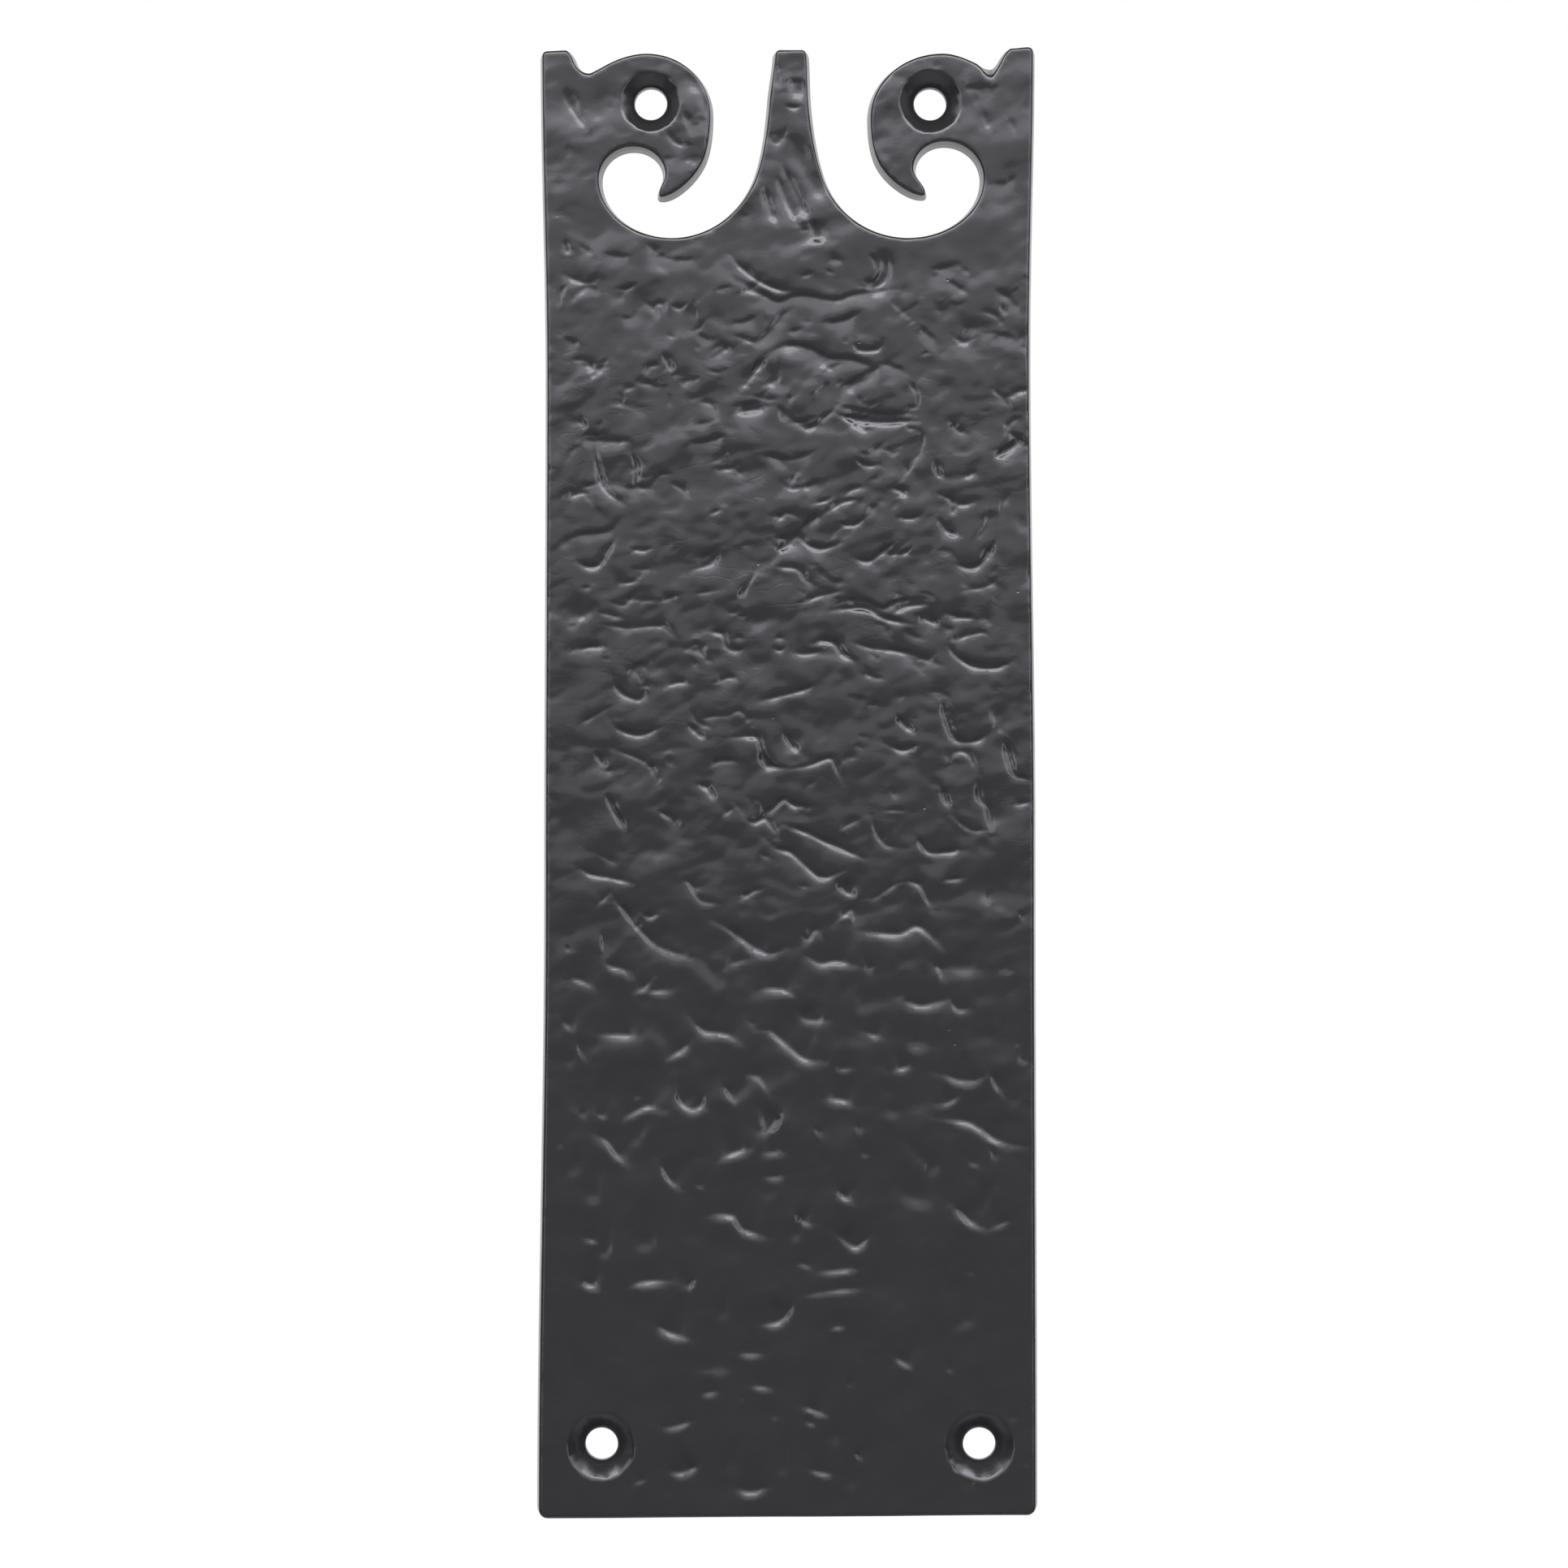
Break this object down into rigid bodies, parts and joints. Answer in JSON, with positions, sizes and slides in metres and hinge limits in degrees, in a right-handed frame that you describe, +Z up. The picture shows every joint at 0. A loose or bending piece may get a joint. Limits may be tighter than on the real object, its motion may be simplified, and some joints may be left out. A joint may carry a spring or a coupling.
{
  "type": "door finger plate",
  "caption": "Upright cast iron door finger plate with a pierced scroll crest, hammered relief face and countersunk screw holes.",
  "frame": {"origin": "centre of the flat back face, on the door's surface, halfway up and across the plate", "axes": "+Z up the plate toward its crest, +Y into the door, so the relief front faces -Y; +X to the right seen from the front"},
  "size_m": [0.0782, 0.004, 0.23],
  "materials": {
    "black_iron": "satin"
  },
  "bodies": {
    "root": {"finger_plate": "black_iron"}
  },
  "joints": []
}
